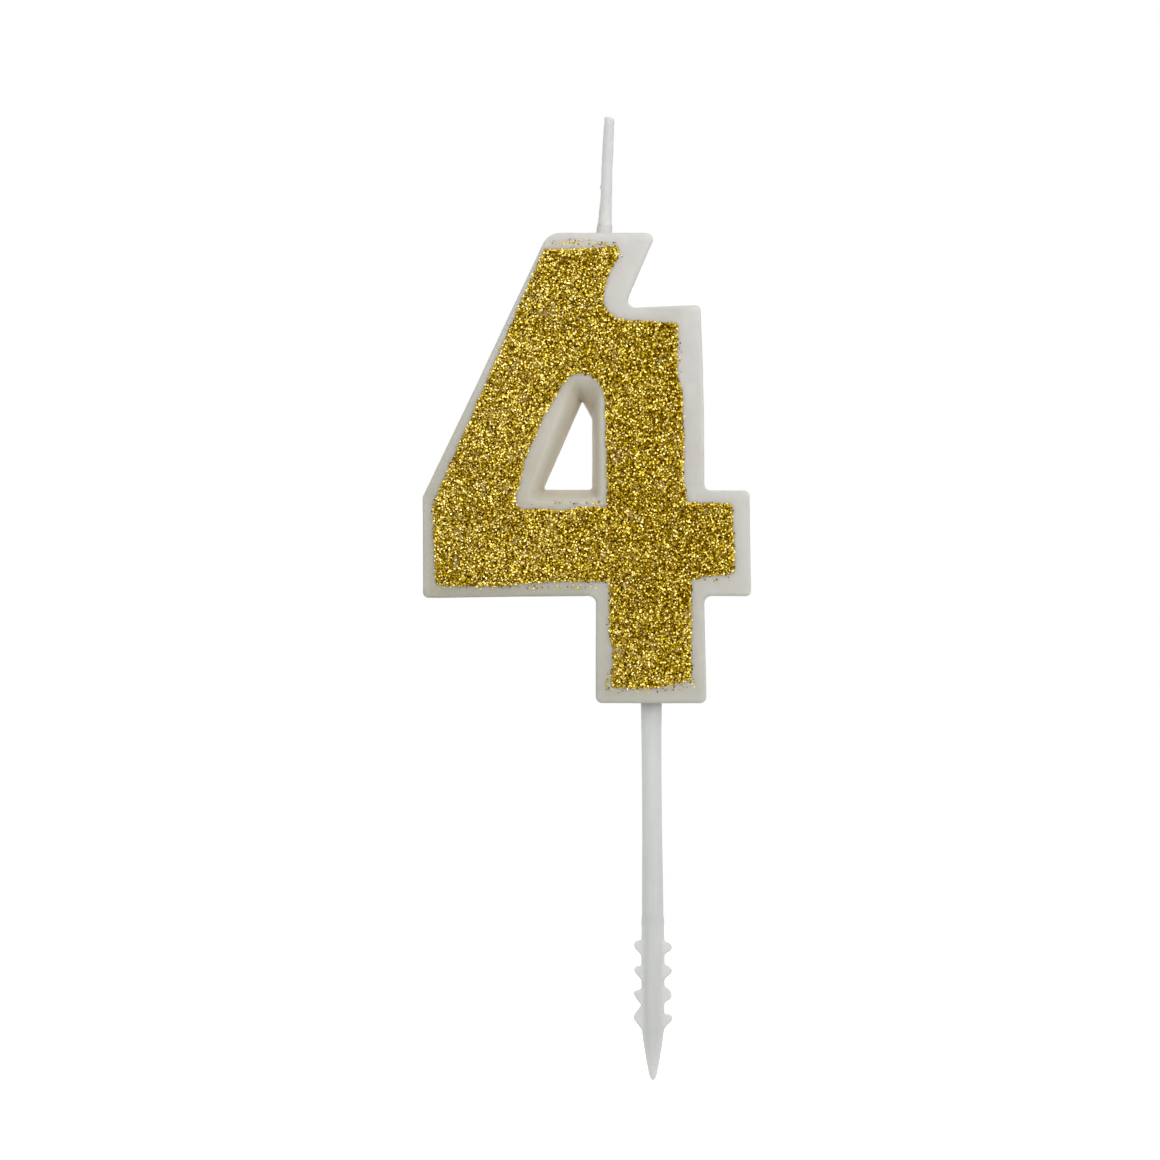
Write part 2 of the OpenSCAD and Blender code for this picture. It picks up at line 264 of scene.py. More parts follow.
def wax_material(name, light, dark, warm, rough, radius, spread=(1.0, 1.0, 1.0), scatter=1.0, painted_light=None, lit_foot=None):
    """Cast paraffin: faint clouds in the colour, a satin skin with fine unevenness, light scattered under it.
    Optionally painted light and shade: across the body, in the counter, along its edges, on a few strips and at a
    wick's foot.
    """
    m, nt, p = material(name)
    co = position(nt)
    cloud = node(nt, "ShaderNodeTexNoise", Scale=120.0, Detail=5.0, Roughness=0.55)
    nt.links.new(co, cloud.inputs["Vector"])
    mottle = node(nt, "ShaderNodeTexNoise", Scale=620.0, Detail=3.0, Roughness=0.6)
    nt.links.new(co, mottle.inputs["Vector"])
    c1 = ramp(nt, [(0.3, dark), (0.52, light), (0.75, warm)])
    nt.links.new(cloud.outputs["Fac"], c1.inputs["Fac"])
    c2 = ramp(nt, [(0.35, (0.965, 0.963, 0.955)), (0.65, (1.0, 1.0, 1.0))])
    nt.links.new(mottle.outputs["Fac"], c2.inputs["Fac"])
    mix = nt.nodes.new("ShaderNodeMix")
    mix.data_type, mix.blend_type = "RGBA", "MULTIPLY"
    mix.inputs[0].default_value = 1.0
    nt.links.new(c1.outputs["Color"], mix.inputs[6])
    nt.links.new(c2.outputs["Color"], mix.inputs[7])
    colour = mix.outputs[2]
    if painted_light:
        # painted light and shade: the colour is lighter towards the top right and darker and yellower towards the
        # bottom left, as the light falls across the body
        painted_falloff = node(nt, "ShaderNodeVectorMath", operation="DOT_PRODUCT")
        painted_falloff.inputs[1].default_value = painted_light[0]
        nt.links.new(co, painted_falloff.inputs[0])
        t = node(nt, "ShaderNodeMapRange")
        t.inputs["From Min"].default_value, t.inputs["From Max"].default_value = painted_light[1]
        nt.links.new(painted_falloff.outputs["Value"], t.inputs["Value"])
        c3 = ramp(nt, [(0.0, painted_light[2]), (1.0, painted_light[3])])
        nt.links.new(t.outputs["Result"], c3.inputs["Fac"])
        mix2 = nt.nodes.new("ShaderNodeMix")
        mix2.data_type, mix2.blend_type = "RGBA", "MULTIPLY"
        mix2.inputs[0].default_value = 1.0
        nt.links.new(colour, mix2.inputs[6])
        nt.links.new(c3.outputs["Color"], mix2.inputs[7])
        colour = mix2.outputs[2]
        # painted reflection and shade: the counter is tinted warmer the deeper it goes, standing in for light bounced
        # off the gold and shade in the recess
        sep = node(nt, "ShaderNodeSeparateXYZ")
        nt.links.new(co, sep.inputs["Vector"])
        deep = node(nt, "ShaderNodeMapRange")
        deep.inputs["From Min"].default_value, deep.inputs["From Max"].default_value = -0.0038, 0.0
        nt.links.new(sep.outputs["Y"], deep.inputs["Value"])
        warmer = ramp(nt, [(0.0, painted_light[4]), (1.0, painted_light[5])])
        nt.links.new(deep.outputs["Result"], warmer.inputs["Fac"])
        # painted light and shade: the counter keeps its full, warmed colour, so it reads lighter than the faces outside
        # it, which are darkened; faces along the outer edge are painted darker to hide their lit bevels, and a few
        # strips are painted darker as shade
        for name, tint in (("well", None), ("plain", (0.88, 0.88, 0.88, 1)), ("side", (0.89, 0.89, 0.885, 1)), ("painted_shade", (0.89, 0.885, 0.85, 1))):
            part = node(nt, "ShaderNodeAttribute", attribute_name=name)
            over = nt.nodes.new("ShaderNodeMix")
            over.data_type, over.blend_type = "RGBA", "MULTIPLY"
            if tint:
                over.inputs[7].default_value = tint
            else:
                nt.links.new(warmer.outputs["Color"], over.inputs[7])
            nt.links.new(part.outputs["Fac"], over.inputs[0])
            nt.links.new(colour, over.inputs[6])
            colour = over.outputs[2]
    if lit_foot:
        # painted light: the wick is coloured lighter near its foot, making up for the shade it gets next to the seal
        up = node(nt, "ShaderNodeSeparateXYZ")
        nt.links.new(co, up.inputs["Vector"])
        share = node(nt, "ShaderNodeMapRange")
        share.inputs["From Min"].default_value, share.inputs["From Max"].default_value = lit_foot
        nt.links.new(up.outputs["Z"], share.inputs["Value"])
        painted_foot_light = ramp(nt, [(0.0, (1.0, 0.995, 0.98)), (0.5, (0.855, 0.86, 0.855)), (1.0, (0.757, 0.775, 0.778))])
        nt.links.new(share.outputs["Result"], painted_foot_light.inputs["Fac"])
        thick = nt.nodes.new("ShaderNodeMix")
        thick.data_type, thick.blend_type = "RGBA", "MULTIPLY"
        thick.inputs[0].default_value = 1.0
        nt.links.new(colour, thick.inputs[6])
        nt.links.new(painted_foot_light.outputs["Color"], thick.inputs[7])
        colour = thick.outputs[2]
    nt.links.new(colour, p.inputs["Base Color"])
    r = node(nt, "ShaderNodeMapRange")
    r.inputs["To Min"].default_value, r.inputs["To Max"].default_value = rough - 0.07, rough + 0.09
    nt.links.new(cloud.outputs["Fac"], r.inputs["Value"])
    nt.links.new(r.outputs["Result"], p.inputs["Roughness"])
    skin = node(nt, "ShaderNodeTexNoise", Scale=900.0, Detail=4.0, Roughness=0.6)
    nt.links.new(co, skin.inputs["Vector"])
    slow = node(nt, "ShaderNodeTexNoise", Scale=160.0, Detail=2.0)
    nt.links.new(co, slow.inputs["Vector"])
    b1 = node(nt, "ShaderNodeBump", Strength=0.10, Distance=0.0002)
    nt.links.new(skin.outputs["Fac"], b1.inputs["Height"])
    b2 = node(nt, "ShaderNodeBump", Strength=0.16, Distance=0.0012)
    nt.links.new(slow.outputs["Fac"], b2.inputs["Height"])
    nt.links.new(b1.outputs["Normal"], b2.inputs["Normal"])
    nt.links.new(b2.outputs["Normal"], p.inputs["Normal"])
    p.inputs["Subsurface Weight"].default_value = scatter
    p.inputs["Subsurface Radius"].default_value = spread
    p.inputs["Subsurface Scale"].default_value = radius
    if lit_foot:
        # and the light scatters less far in the wax near the foot
        reach = node(nt, "ShaderNodeMapRange")
        reach.inputs["From Min"].default_value, reach.inputs["From Max"].default_value = lit_foot
        reach.inputs["To Min"].default_value, reach.inputs["To Max"].default_value = radius * 0.2, radius
        nt.links.new(up.outputs["Z"], reach.inputs["Value"])
        nt.links.new(reach.outputs["Result"], p.inputs["Subsurface Scale"])
    p.inputs["IOR"].default_value = 1.44
    p.inputs["Specular IOR Level"].default_value = 0.15
    return m


# ------------------------------------------------------------------ wax numeral
def hole_at(t):
    """Outline of the counter at depth t behind the front face."""
    d = 1 - (1 - (t / THICK) ** 0.6) ** 2.4
    e = (t + 0.5 * (1 - math.exp(-t / 0.35))) / (THICK + 0.5)
    c = []
    for f, g, kx, kz in zip(HOLE_F, HOLE_B, DISH_X, DISH_Z):
        wx, wz = kx * d + (1 - kx) * e, kz * d + (1 - kz) * e
        c.append((f[0] + (g[0] - f[0]) * wx, f[1] + (g[1] - f[1]) * wz, f[2] + (g[2] - f[2]) * (wx + wz) / 2))
    flare = 0.12 * max(0, (t - 7.7) / 0.3) ** 2
    return inset(c, -flare) if flare else c


def wax_body():
    verts, faces = [], []
    na = 12
    oc = counts_for(OUTER, na, 0.8)
    hc = counts_for(HOLE_F, na, 0.6)

    outer_levels = [(0.62, 0.0)]
    for k in range(8):
        f = math.pi / 2 * k / 7
        outer_levels.append((EDGE_R * (1 - math.sin(f)), EDGE_R * (1 - math.cos(f))))
    for t in np.linspace(EDGE_R, THICK - BACK_R, 9)[1:-1]:
        outer_levels.append((0.0, float(t)))
    for k in range(6):
        f = math.pi / 2 * k / 5
        outer_levels.append((BACK_R * (1 - math.cos(f)), THICK - BACK_R + BACK_R * math.sin(f)))

    def add(pts, t):
        verts.extend((x, FRONT + t, z) for x, z in pts)

    rings = [ring(inset(OUTER, d + DRAFT * t / THICK), na, oc) for d, t in outer_levels]
    n_o = len(rings[0])
    for r, (_, t) in zip(rings, outer_levels):
        add(r, t)
    strips(faces, 0, len(rings), n_o)

    # the counter narrows from the front in one smooth curve, steep towards the back
    hole_levels = [0, 0.015, 0.04, 0.08, 0.14, 0.22, 0.33, 0.47, 0.65, 0.9, 1.2, 1.6, 2.1, 2.7, 3.4, 4.2, 5.0, 5.8, 6.6, 7.3, 7.7, 7.9, 8.0]

    start = len(verts)
    hrings = [ring(hole_at(t), na, hc) for t in hole_levels]
    n_h = len(hrings[0])
    for r, t in zip(hrings, hole_levels):
        add(r, t)
    strips(faces, start, len(hrings), n_h)

    def cap(o_start, h_start, o_ring, h_ring, t, step, rough):
        lo, hi = o_ring.min(0), o_ring.max(0)
        g = np.array([(x, z) for x in np.arange(lo[0], hi[0], step) for z in np.arange(lo[1], hi[1], step)])
        g = g + rng.uniform(-0.25, 0.25, g.shape) * step
        ok = inside(o_ring, g) & ~inside(h_ring, g)
        g = g[ok]
        ok = (distance(o_ring, g) > 0.5 * step) & (distance(h_ring, g) > 0.5 * step)
        g = g[ok]
        tris = fill([o_ring, h_ring], g)
        e_start = len(verts)
        for x, z in g:
            y = FRONT + t
            if rough:
                edge = min(1.0, float(min(distance(o_ring, np.array([[x, z]]))[0], distance(h_ring, np.array([[x, z]]))[0])) / 2.5)
                y -= edge * (0.10 + 0.13 * fbm((x, 40.0, z), 0.16) + 0.05 * fbm((x, 11.0, z), 0.6))
            verts.append((x, y, z))

        def real(i):
            return o_start + i if i < n_o else h_start + i - n_o if i < n_o + n_h else e_start + i - n_o - n_h
        faces.extend(tuple(real(i) for i in tr) for tr in tris)

    cap(0, start, rings[0], hrings[0], 0.0, 2.0, False)
    cap((len(rings) - 1) * n_o, start + (len(hrings) - 1) * n_h, rings[-1], hrings[-1], THICK, 1.0, True)

    moved = []
    for x, y, z in verts:
        s = noise.noise_vector(Vector((x, y * 0.5, z)) * 0.085) * 0.075 + noise.noise_vector(Vector((x + 31, y, z)) * 0.33) * 0.018
        bow = 0.2 * math.sin(math.pi * min(max((z - 31.7) / 27.8, 0), 1)) * min(max((x - 5.0) / 2.4, 0), 1)
        near_front = min(max((y - FRONT) / 1.2, 0), 1)
        calm = 0.0 if abs(z) < 0.4 and abs(x) < 3 else 1.0
        moved.append((x + s.x + bow, y + s.y * 0.7 * near_front, z + s.z * calm))
    ob = new_object("wax_numeral", moved, faces)

    # socket for the pick and bore for the wick
    a, b = 1.54, 1.386
    dia = [(a, 0), (0.12 * a, 0.88 * b), (-0.12 * a, 0.88 * b), (-a, 0), (-0.12 * a, -0.88 * b), (0.12 * a, -0.88 * b)]
    sv = [(x, y, z) for z in (-1.5, 22.1) for x, y in dia]
    sf = [tuple(range(6)), tuple(range(6, 12))] + [(i, (i + 1) % 6, 6 + (i + 1) % 6, 6 + i) for i in range(6)]
    socket = new_object("cut_socket", sv, sf, smooth=False)
    n = 32
    wv = [(WICK_X + 0.79 * math.cos(2 * math.pi * i / n), 0.79 * math.sin(2 * math.pi * i / n), z) for z in (51.8, 72.5) for i in range(n)]
    wf = [tuple(range(n)), tuple(range(n, 2 * n))] + [(i, (i + 1) % n, n + (i + 1) % n, n + i) for i in range(n)]
    bore = new_object("cut_bore", wv, wf, smooth=False)
    for c in (socket, bore):
        m = ob.modifiers.new("cut", "BOOLEAN")
        m.operation, m.object, m.solver = "DIFFERENCE", c, "EXACT"
    apply_modifiers(ob)
    for c in (socket, bore):
        me = c.data
        bpy.data.objects.remove(c)
        bpy.data.meshes.remove(me)
    ob.data.shade_smooth()
    ob.data.set_sharp_from_angle(angle=math.radians(42))
    at = np.array([(v.co.x / MM, v.co.z / MM) for v in ob.data.vertices])
    y = np.array([v.co.y / MM for v in ob.data.vertices])
    x, z = at[:, 0], at[:, 1]
    # painted shade: faces within about 0.7 mm of the outer edge are marked for darkening, so their lit bevels don't
    # show; less along the left end of the crossbar
    side = np.clip((0.72 - distance(ring(OUTER, na, oc), at)) / 0.35, 0, 1)
    side *= 1 - 0.65 * np.clip((-32.4 - x) / 0.8, 0, 1) * np.clip(z - 16.5, 0, 1) * np.clip((31.5 - z) / 1.5, 0, 1)
    # the counter: the material paints it lighter and warmer than the faces outside it, as light and bounce from the
    # gold
    throat = inside(ring(inset(HOLE_B, -0.3), na, hc), at) & (y < 3.85)
    well = (inside(ring(inset(HOLE_F, -0.15), na, hc), at) & (throat | (y < 3.5))).astype(float)
    # painted shade on a few strips near the front: the underside of the crossbar, the upward ledge at the top of the
    # stem, and the top of the counter
    low = np.exp(-((z - 16.4) / 0.9) ** 2) * np.clip((-8.5 - x) / 1.5, 0, 1) * np.clip((x + 33.5) / 1.5, 0, 1)
    step = 0.9 * np.exp(-((z - 58.7) / 1.1) ** 2) * np.clip((x + 1.2) / 2.0, 0, 1) * np.clip((5.6 - x) / 1.5, 0, 1)
    head = well * np.exp(-((z - 47.6) / 1.8) ** 2)
    painted_shade = np.clip((low + step) * np.clip((-1 - y) / 1.5, 0, 1) + head, 0, 1)
    for name, values in (("side", side), ("well", well), ("plain", 1 - well), ("painted_shade", painted_shade)):
        ob.data.attributes.new(name, "FLOAT", "POINT").data.foreach_set("value", values)
    return ob


# ------------------------------------------------------------------ wick
WICK_R = [(50.0, 0.775), (70.2, 0.80), (70.8, 1.04), (71.4, 1.08), (72.3, 1.02), (73.7, 0.95), (74.9, 0.88), (76.0, 0.84), (77.6, 0.85), (79.0, 0.82),
          (83.0, 0.83), (86.3, 0.77), (87.4, 0.76), (87.75, 0.745)]
WICK_C = [(50.0, -7.05), (70.3, -7.05), (71.4, -7.01), (73.7, -6.90), (76.0, -6.76), (77.0, -6.74), (80.0, -6.68), (84.0, -6.48), (87.8, -6.30)]


def wick():
    n, verts, faces = 40, [], []
    zs = np.concatenate([np.arange(51.9, 70.0, 1.2), np.arange(70.0, 87.45, 0.16), [87.5, 87.58, 87.63]])
    for z in zs:
        cx = np.interp(z, [a for a, _ in WICK_C], [b for _, b in WICK_C])
        r0 = np.interp(z, [a for a, _ in WICK_R], [b for _, b in WICK_R])
        buried = z < 70.3
        cy = 0.0 if buried else 0.05 * noise.noise(Vector((3.0, 1.0, z * 0.21)))
        if z > 87.55:
            r0 -= (z - 87.55) * 1.2
        for i in range(n):
            a = 2 * math.pi * i / n
            tw = 0.0
            if not buried:
                ply = abs(math.sin(1.5 * (a - z * 1.05)))          # three plies showing through the wax
                tw = 0.055 * (ply ** 0.6 - 0.72)
                tw += 0.035 * fbm((math.cos(a) * 0.8, math.sin(a) * 0.8, z * 0.9), 1.0)
                tw += 0.15 * math.exp(-((z - 77.25) / 0.32) ** 2) * max(0, math.cos(a - math.pi)) ** 3   # small run of wax
                tw += 0.06 * math.exp(-((z - 71.45) / 0.22) ** 2) * max(0, math.cos(a - 0.2)) ** 4
            r = r0 + tw
            slant = 0.0
            if z > 86.6:
                slant = -0.17 * (r * math.cos(a) / 0.75) * min(1, (z - 86.6) / 0.8)   # cut at a slant
            verts.append((cx + r * math.cos(a), cy + r * math.sin(a), z + slant))
    m = len(zs)
    strips(faces, 0, m, n)
    # cut end: three plies of cord, slightly hollow between them
    last = (m - 1) * n
    cx = np.interp(87.6, [a for a, _ in WICK_C], [b for _, b in WICK_C])
    for k, (s, dz) in enumerate([(0.72, 0.05), (0.42, 0.0), (0.16, -0.06)]):
        start = len(verts)
        for i in range(n):
            x, y, z = verts[last + i]
            a = 2 * math.pi * i / n
            bump = 0.05 * abs(math.sin(1.5 * (a - 92.0))) * s
            verts.append((cx + (x - cx) * s, y * s, 87.63 + (z - 87.63) * s + dz + bump))
        prev = last if k == 0 else start - n
        for i in range(n):
            j = (i + 1) % n
            faces.append((prev + i, start + i, start + j, prev + j))
    faces.append(tuple(range(len(verts) - n, len(verts))))
    faces.append(tuple(range(n)))
    return new_object("wick_waxed", verts, faces, sharp=60)


def wick_seal():
    n, verts, faces = 48, [], []
    prof = [(0.80, 70.25), (1.36, 70.25), (1.33, 70.33), (1.23, 70.45), (1.185, 70.65), (1.16, 70.85), (1.135, 71.05), (1.11, 71.2), (1.08, 71.35), (1.03, 71.5), (0.80, 71.5)]
    for r, z in prof:
        for i in range(n):
            a = 2 * math.pi * i / n
            w = 1 + (0.05 * fbm((math.cos(a) * 1.3, math.sin(a) * 1.3, z * 1.4), 1.0, 2) if r > 0.85 else 0)
            rr = r * w + (0.10 * max(0, math.cos(a - 0.1)) ** 6 if z > 71.0 and r > 0.9 else 0)
            dz = 0.07 * noise.noise(Vector((math.cos(a), math.sin(a), 5.0))) if z > 70.6 else 0
            verts.append((WICK_X - 0.03 + rr * math.cos(a), rr * math.sin(a), z + dz))
    strips(faces, 0, len(prof), n, closed=True)
    return new_object("wick_seal_drop", verts, faces)


# ------------------------------------------------------------------ pick
BARBS_L = [  # (z, reach from the axis) along the left side of each barb
    [(-35.62, 1.60), (-35.72, 2.22), (-35.95, 2.55), (-36.45, 2.64), (-36.98, 2.42), (-37.85, 1.60)],
    [(-39.45, 1.60), (-39.53, 2.18), (-39.78, 2.54), (-40.22, 2.61), (-40.75, 2.32), (-41.50, 1.60)],
    [(-43.00, 1.60), (-43.10, 2.10), (-43.35, 2.62), (-43.75, 2.68), (-44.60, 2.18), (-45.42, 1.50)],
    [(-45.44, 1.50), (-46.10, 2.08), (-46.85, 2.60), (-47.38, 2.68), (-48.00, 2.32), (-48.85, 1.60)]]
BARBS_R = [
    [(-35.70, 1.95), (-35.98, 2.60), (-36.32, 3.02), (-36.78, 3.14), (-37.22, 2.98), (-37.80, 1.95)],
    [(-39.20, 1.95), (-39.52, 2.62), (-39.88, 3.06), (-40.30, 3.15), (-40.85, 2.84), (-41.50, 1.95)],
    [(-42.50, 1.95), (-42.95, 2.62), (-43.45, 3.00), (-43.98, 3.09), (-44.55, 2.82), (-45.15, 1.85)],
    [(-46.68, 1.75), (-46.72, 2.68), (-46.90, 3.04), (-47.30, 3.20), (-47.80, 3.06), (-49.00, 1.85)]]
SHAFT = [(-0.04, 1.55), (-5, 1.47), (-12, 1.44), (-20, 1.47), (-28, 1.56), (-31.8, 1.60), (-32.8, 1.72), (-36, 1.79), (-48.6, 1.76), (-49.5, 1.65),
         (-51.2, 1.44), (-53.9, 0.98), (-55.2, 0.73), (-56.0, 0.56), (-56.35, 0.40), (-56.6, 0.20), (-56.68, 0.06)]


def smooth_curve(pairs, zs, sigma):
    k = np.array([p[0] for p in pairs])
    v = np.array([p[1] for p in pairs])
    o = np.argsort(k)
    fine = np.arange(zs.min() - 1, zs.max() + 1, 0.02)
    f = np.interp(fine, k[o], v[o])
    if sigma:
        g = np.exp(-0.5 * (np.arange(-40, 41) * 0.02 / sigma) ** 2)
        f = np.convolve(np.pad(f, 40, "edge"), g / g.sum(), "valid")
    return np.interp(zs, fine, f)


def pick():
    zs = np.concatenate([np.array([22.0, 21.98, 21.9, 21.6]), np.arange(21.0, 0.4, -1.0), [0.15, -0.02, -0.045, -0.07, -0.2, -0.45], np.arange(-1.0, -34.0, -0.7),
                         np.arange(-34.1, -49.5, -0.075), np.arange(-49.6, -56.0, -0.25), [-56.1, -56.25, -56.4, -56.5, -56.6, -56.65, -56.68]])
    n = 112
    u = 2 * np.pi * np.arange(n) / n
    th = u - 0.36 * np.sin(2 * u)
    cs, sn = np.cos(th), np.sin(th)
    ra = smooth_curve(SHAFT, zs, 0.06)
    wl = np.zeros_like(zs)
    wr = np.zeros_like(zs)
    for b in BARBS_L:
        m = (zs < b[0][0] + 0.3) & (zs > b[-1][0] - 0.3)
        ext = [(b[0][0] + 0.35, 0.6)] + b + [(b[-1][0] - 0.6, 0.6)]
        wl = np.where(m, np.maximum(wl, smooth_curve(ext, zs, 0.05)), wl)
    for b in BARBS_R:
        m = (zs < b[0][0] + 0.3) & (zs > b[-1][0] - 0.3)
        ext = [(b[0][0] + 0.35, 0.6)] + b + [(b[-1][0] - 0.6, 0.6)]
        wr = np.where(m, np.maximum(wr, smooth_curve(ext, zs, 0.05)), wr)
    verts, faces = [], []
    for k, z in enumerate(zs):
        a = ra[k]
        cx = 0.24 * min(max((-z - 4.0) / 32.0, 0), 1)
        skew = 0.0
        if z > -0.03:                                   # tang in the foot
            a, b, e = 1.46, 1.30, 1.16
            if z > 21.5:
                s = 1 - 0.25 * ((z - 21.5) / 0.5) ** 2
                a, b = a * s, b * s
        else:                                           # round shaft that turns into a ridged one
            w = min(max((-z - 31.6) / 2.0, 0), 1)
            w = w * w * (3 - 2 * w)
            e = 2.0 + (1.24 - 2.0) * w
            b = a * (1.0 + (0.88 - 1.0) * w)
            skew = 0.2 * a * w                          # its front ridge lies left of the middle
        r = (np.abs(cs / a) ** e + np.abs(sn / b) ** e) ** (-1 / e)
        # flat barbs that run out from the sides, thinner towards their tips
        for side, reach in ((1, wr[k] - cx), (-1, wl[k] + cx)):
            if reach > 0.7:
                face = cs * side > 0.05
                c = np.where(face, cs * side, 1)
                h = 0.60 - 0.22 * np.clip((r * c - 1.2) / 1.4, 0, 1)
                rb = ((c / reach) ** 5 + (np.abs(sn) / h) ** 5) ** (-1 / 5)
                r = np.where(face, (r ** 14 + rb ** 14) ** (1 / 14), r)
        if -31.0 < z < -0.03:                           # faint mould line down both sides
            r = r + 0.03 * np.exp(-(np.minimum(np.abs(sn), 1) / 0.05) ** 2)
        for i in range(n):
            verts.append((cx + r[i] * cs[i] - skew * max(0, -sn[i]) ** 2, r[i] * sn[i], z))
    strips(faces, 0, len(zs), n)
    faces.append(tuple(range(n)))
    faces.append(tuple(range(len(verts) - n, len(verts))))
    return new_object("pick_moulded", verts, faces, sharp=50)


# ------------------------------------------------------------------ glitter print
def ragged(c, step, amount, seed):
    """A print edge: the stencil's outline with the grain of the flakes in it."""
    n = 4
    base = ring(c, n, counts_for(c, n, step))
    t = np.roll(base, -1, 0) - np.roll(base, 1, 0)
    nrm = np.stack([t[:, 1], -t[:, 0]], 1) / np.maximum(np.linalg.norm(t, axis=1), 1e-9)[:, None]
    off = np.array([0.55 * noise.noise(Vector((p[0] * 0.5, p[1] * 0.5, seed))) + 0.45 * noise.noise(Vector((p[0] * 2.6, p[1] * 2.6, seed + 9))) for p in base])
    return base + nrm * (off * amount)[:, None]


def slab(name, loops, y0, y1):
    tris = fill(loops, [])
    pts = np.concatenate(loops)
    n = len(pts)
    verts = [(x, y0, z) for x, z in pts] + [(x, y1, z) for x, z in pts]
    faces = [tuple(t) for t in tris] + [tuple(i + n for i in t) for t in tris]
    at = 0
    for l in loops:
        m = len(l)
        faces += [(at + i, at + (i + 1) % m, n + at + (i + 1) % m, n + at + i) for i in range(m)]
        at += m
    return new_object(name, verts, faces, smooth=False)


def hex_grid(pitch, jitter):
    xs = np.arange(-35, 15, pitch)
    zs = np.arange(0, 71, pitch * 0.866)
    g = np.array([(x + (0.5 * pitch if k % 2 else 0), z) for k, z in enumerate(zs) for x in xs])
    return g + rng.normal(0, jitter * pitch, g.shape)


def face_values(me, name, values):
    a = me.attributes.new(name, "FLOAT", "FACE")
    a.data.foreach_set("value", np.asarray(values, np.float32))


def thin_spots(p):
    """How thin the flakes lie at each point, 0 to 1: a few blotches, most of them on the foot."""
    out = []
    for x, z in p:
        v = fbm((x + 4.0, 21.0, z), 0.42, 2) + 0.16 * math.exp(-((x + 4.0) / 2.2) ** 2 - ((z - 9.5) / 4.5) ** 2)
        out.append(min(max((v - 0.29) / 0.25, 0), 1))
    return np.array(out)


def glitter_bed(outer, hole):
    """Under layer of flakes as one closed crust of small facets."""
    g = hex_grid(0.26, 0.24)
    ok = inside(outer, g) & ~inside(hole, g)
    g = g[ok]
    ok = (distance(outer, g) > 0.12) & (distance(hole, g) > 0.12)
    g = g[ok]
    tris = fill([outer, hole], g)
    n_edge = len(outer) + len(hole)
    pts = np.concatenate([outer, hole, g])
    h = rng.uniform(0.02, 0.19, len(pts))
    h[:n_edge] = rng.uniform(0.0, 0.06, n_edge)
    near = np.clip(np.minimum(distance(outer, pts), distance(hole, pts)) / 0.4, 0, 1)
    top_y = FRONT - 0.05 - 0.07 * near - h
    verts = [(x, y, z) for (x, z), y in zip(pts, top_y)]
    base = len(verts)
    verts += [(x, FRONT - 0.02, z) for x, z in pts[:n_edge]]
    faces = [tuple(t) for t in tris]
    n_top = len(faces)
    at = 0
    for l in (outer, hole):
        m = len(l)
        faces += [(at + i, at + (i + 1) % m, base + at + (i + 1) % m, base + at + i) for i in range(m)]
        at += m
    faces += [tuple(base + i for i in t) for t in fill([outer, hole], [])]
    ob = new_object("glitter_crust", verts, faces, smooth=False)
    bare = np.zeros(len(faces))
    bare[:n_top] = thin_spots(pts[np.array(faces[:n_top])].mean(1)) * (rng.random(n_top) < 0.6)
    # painted shade: the under layer is mostly dark, standing in for shade in the gaps between the upper flakes; lighter
    # at its rim and on its walls, so the print's edge isn't darkened
    tone = np.clip(rng.normal(0.12, 0.13, len(faces)), 0, 1)
    mid = pts[np.array(faces[:n_top])].mean(1)
    rim = np.minimum(distance(outer, mid), distance(hole, mid)) < 0.3
    tone[:n_top][rim] = rng.uniform(0.2, 0.65, int(rim.sum()))
    tone[n_top:] = rng.uniform(0.25, 0.6, len(faces) - n_top)
    face_values(ob.data, "tone", tone)
    face_values(ob.data, "grain", rng.uniform(0, 1, len(faces)))
    face_values(ob.data, "bare", bare)
    return ob


HEX = np.array([(math.cos(math.pi / 3 * i), math.sin(math.pi / 3 * i)) for i in range(6)])


def flakes(name, xz, y, radius, tilt, tone, grain, thick=0.035):
    """Closed hexagonal plates. tilt is (about X, about Z, spin) for each."""
    n = len(xz)
    sp = tilt[:, 2]
    cs, sn = np.cos(sp), np.sin(sp)
    px = radius[:, None] * (HEX[None, :, 0] * cs[:, None] - HEX[None, :, 1] * sn[:, None])
    pz = radius[:, None] * (HEX[None, :, 0] * sn[:, None] + HEX[None, :, 1] * cs[:, None])
    verts = np.zeros((n, 12, 3))
    ta, tb = np.tan(tilt[:, 0])[:, None], np.tan(tilt[:, 1])[:, None]
    squeeze = 1 / np.sqrt(1 + ta ** 2 + tb ** 2)
    for k, s in enumerate((-0.5, 0.5)):
        x, z = px * squeeze, pz * squeeze
        dy = x * tb + z * ta
        nx, nz = -tb * squeeze, -ta * squeeze
        verts[:, k * 6:k * 6 + 6, 0] = xz[:, 0:1] + x + nx * s * thick
        verts[:, k * 6:k * 6 + 6, 1] = y[:, None] + dy + squeeze * s * thick
        verts[:, k * 6:k * 6 + 6, 2] = xz[:, 1:2] + z + nz * s * thick
    base = np.arange(n) * 12
    polys = []
    for b in base:
        polys.append((b, b + 1, b + 2, b + 3, b + 4, b + 5))
        polys.append((b + 11, b + 10, b + 9, b + 8, b + 7, b + 6))
        for i in range(6):
            j = (i + 1) % 6
            polys.append((b + i, b + 6 + i, b + 6 + j, b + j))
    ob = new_object(name, verts.reshape(-1, 3), polys, smooth=False, fix=False)
    me = ob.data
    face_values(me, "tone", np.repeat(tone, 8))
    face_values(me, "grain", np.repeat(grain, 8))
    # one small square of the map for each flake
    g = math.ceil(math.sqrt(n))
    cell = np.stack([np.arange(n) % g, np.arange(n) // g], 1) / g
    hexa = 0.5 + 0.36 * HEX
    quad = np.array([(0.25, 0.25), (0.75, 0.25), (0.75, 0.75), (0.25, 0.75)])
    one = np.concatenate([hexa, hexa[::-1]] + [quad] * 6) / g
    uv = (cell[:, None, :] + one[None]).reshape(-1, 2)
    layer = me.uv_layers.new(name="OFBake")
    layer.uv.foreach_set("vector", uv.astype(np.float32).ravel())
    return ob


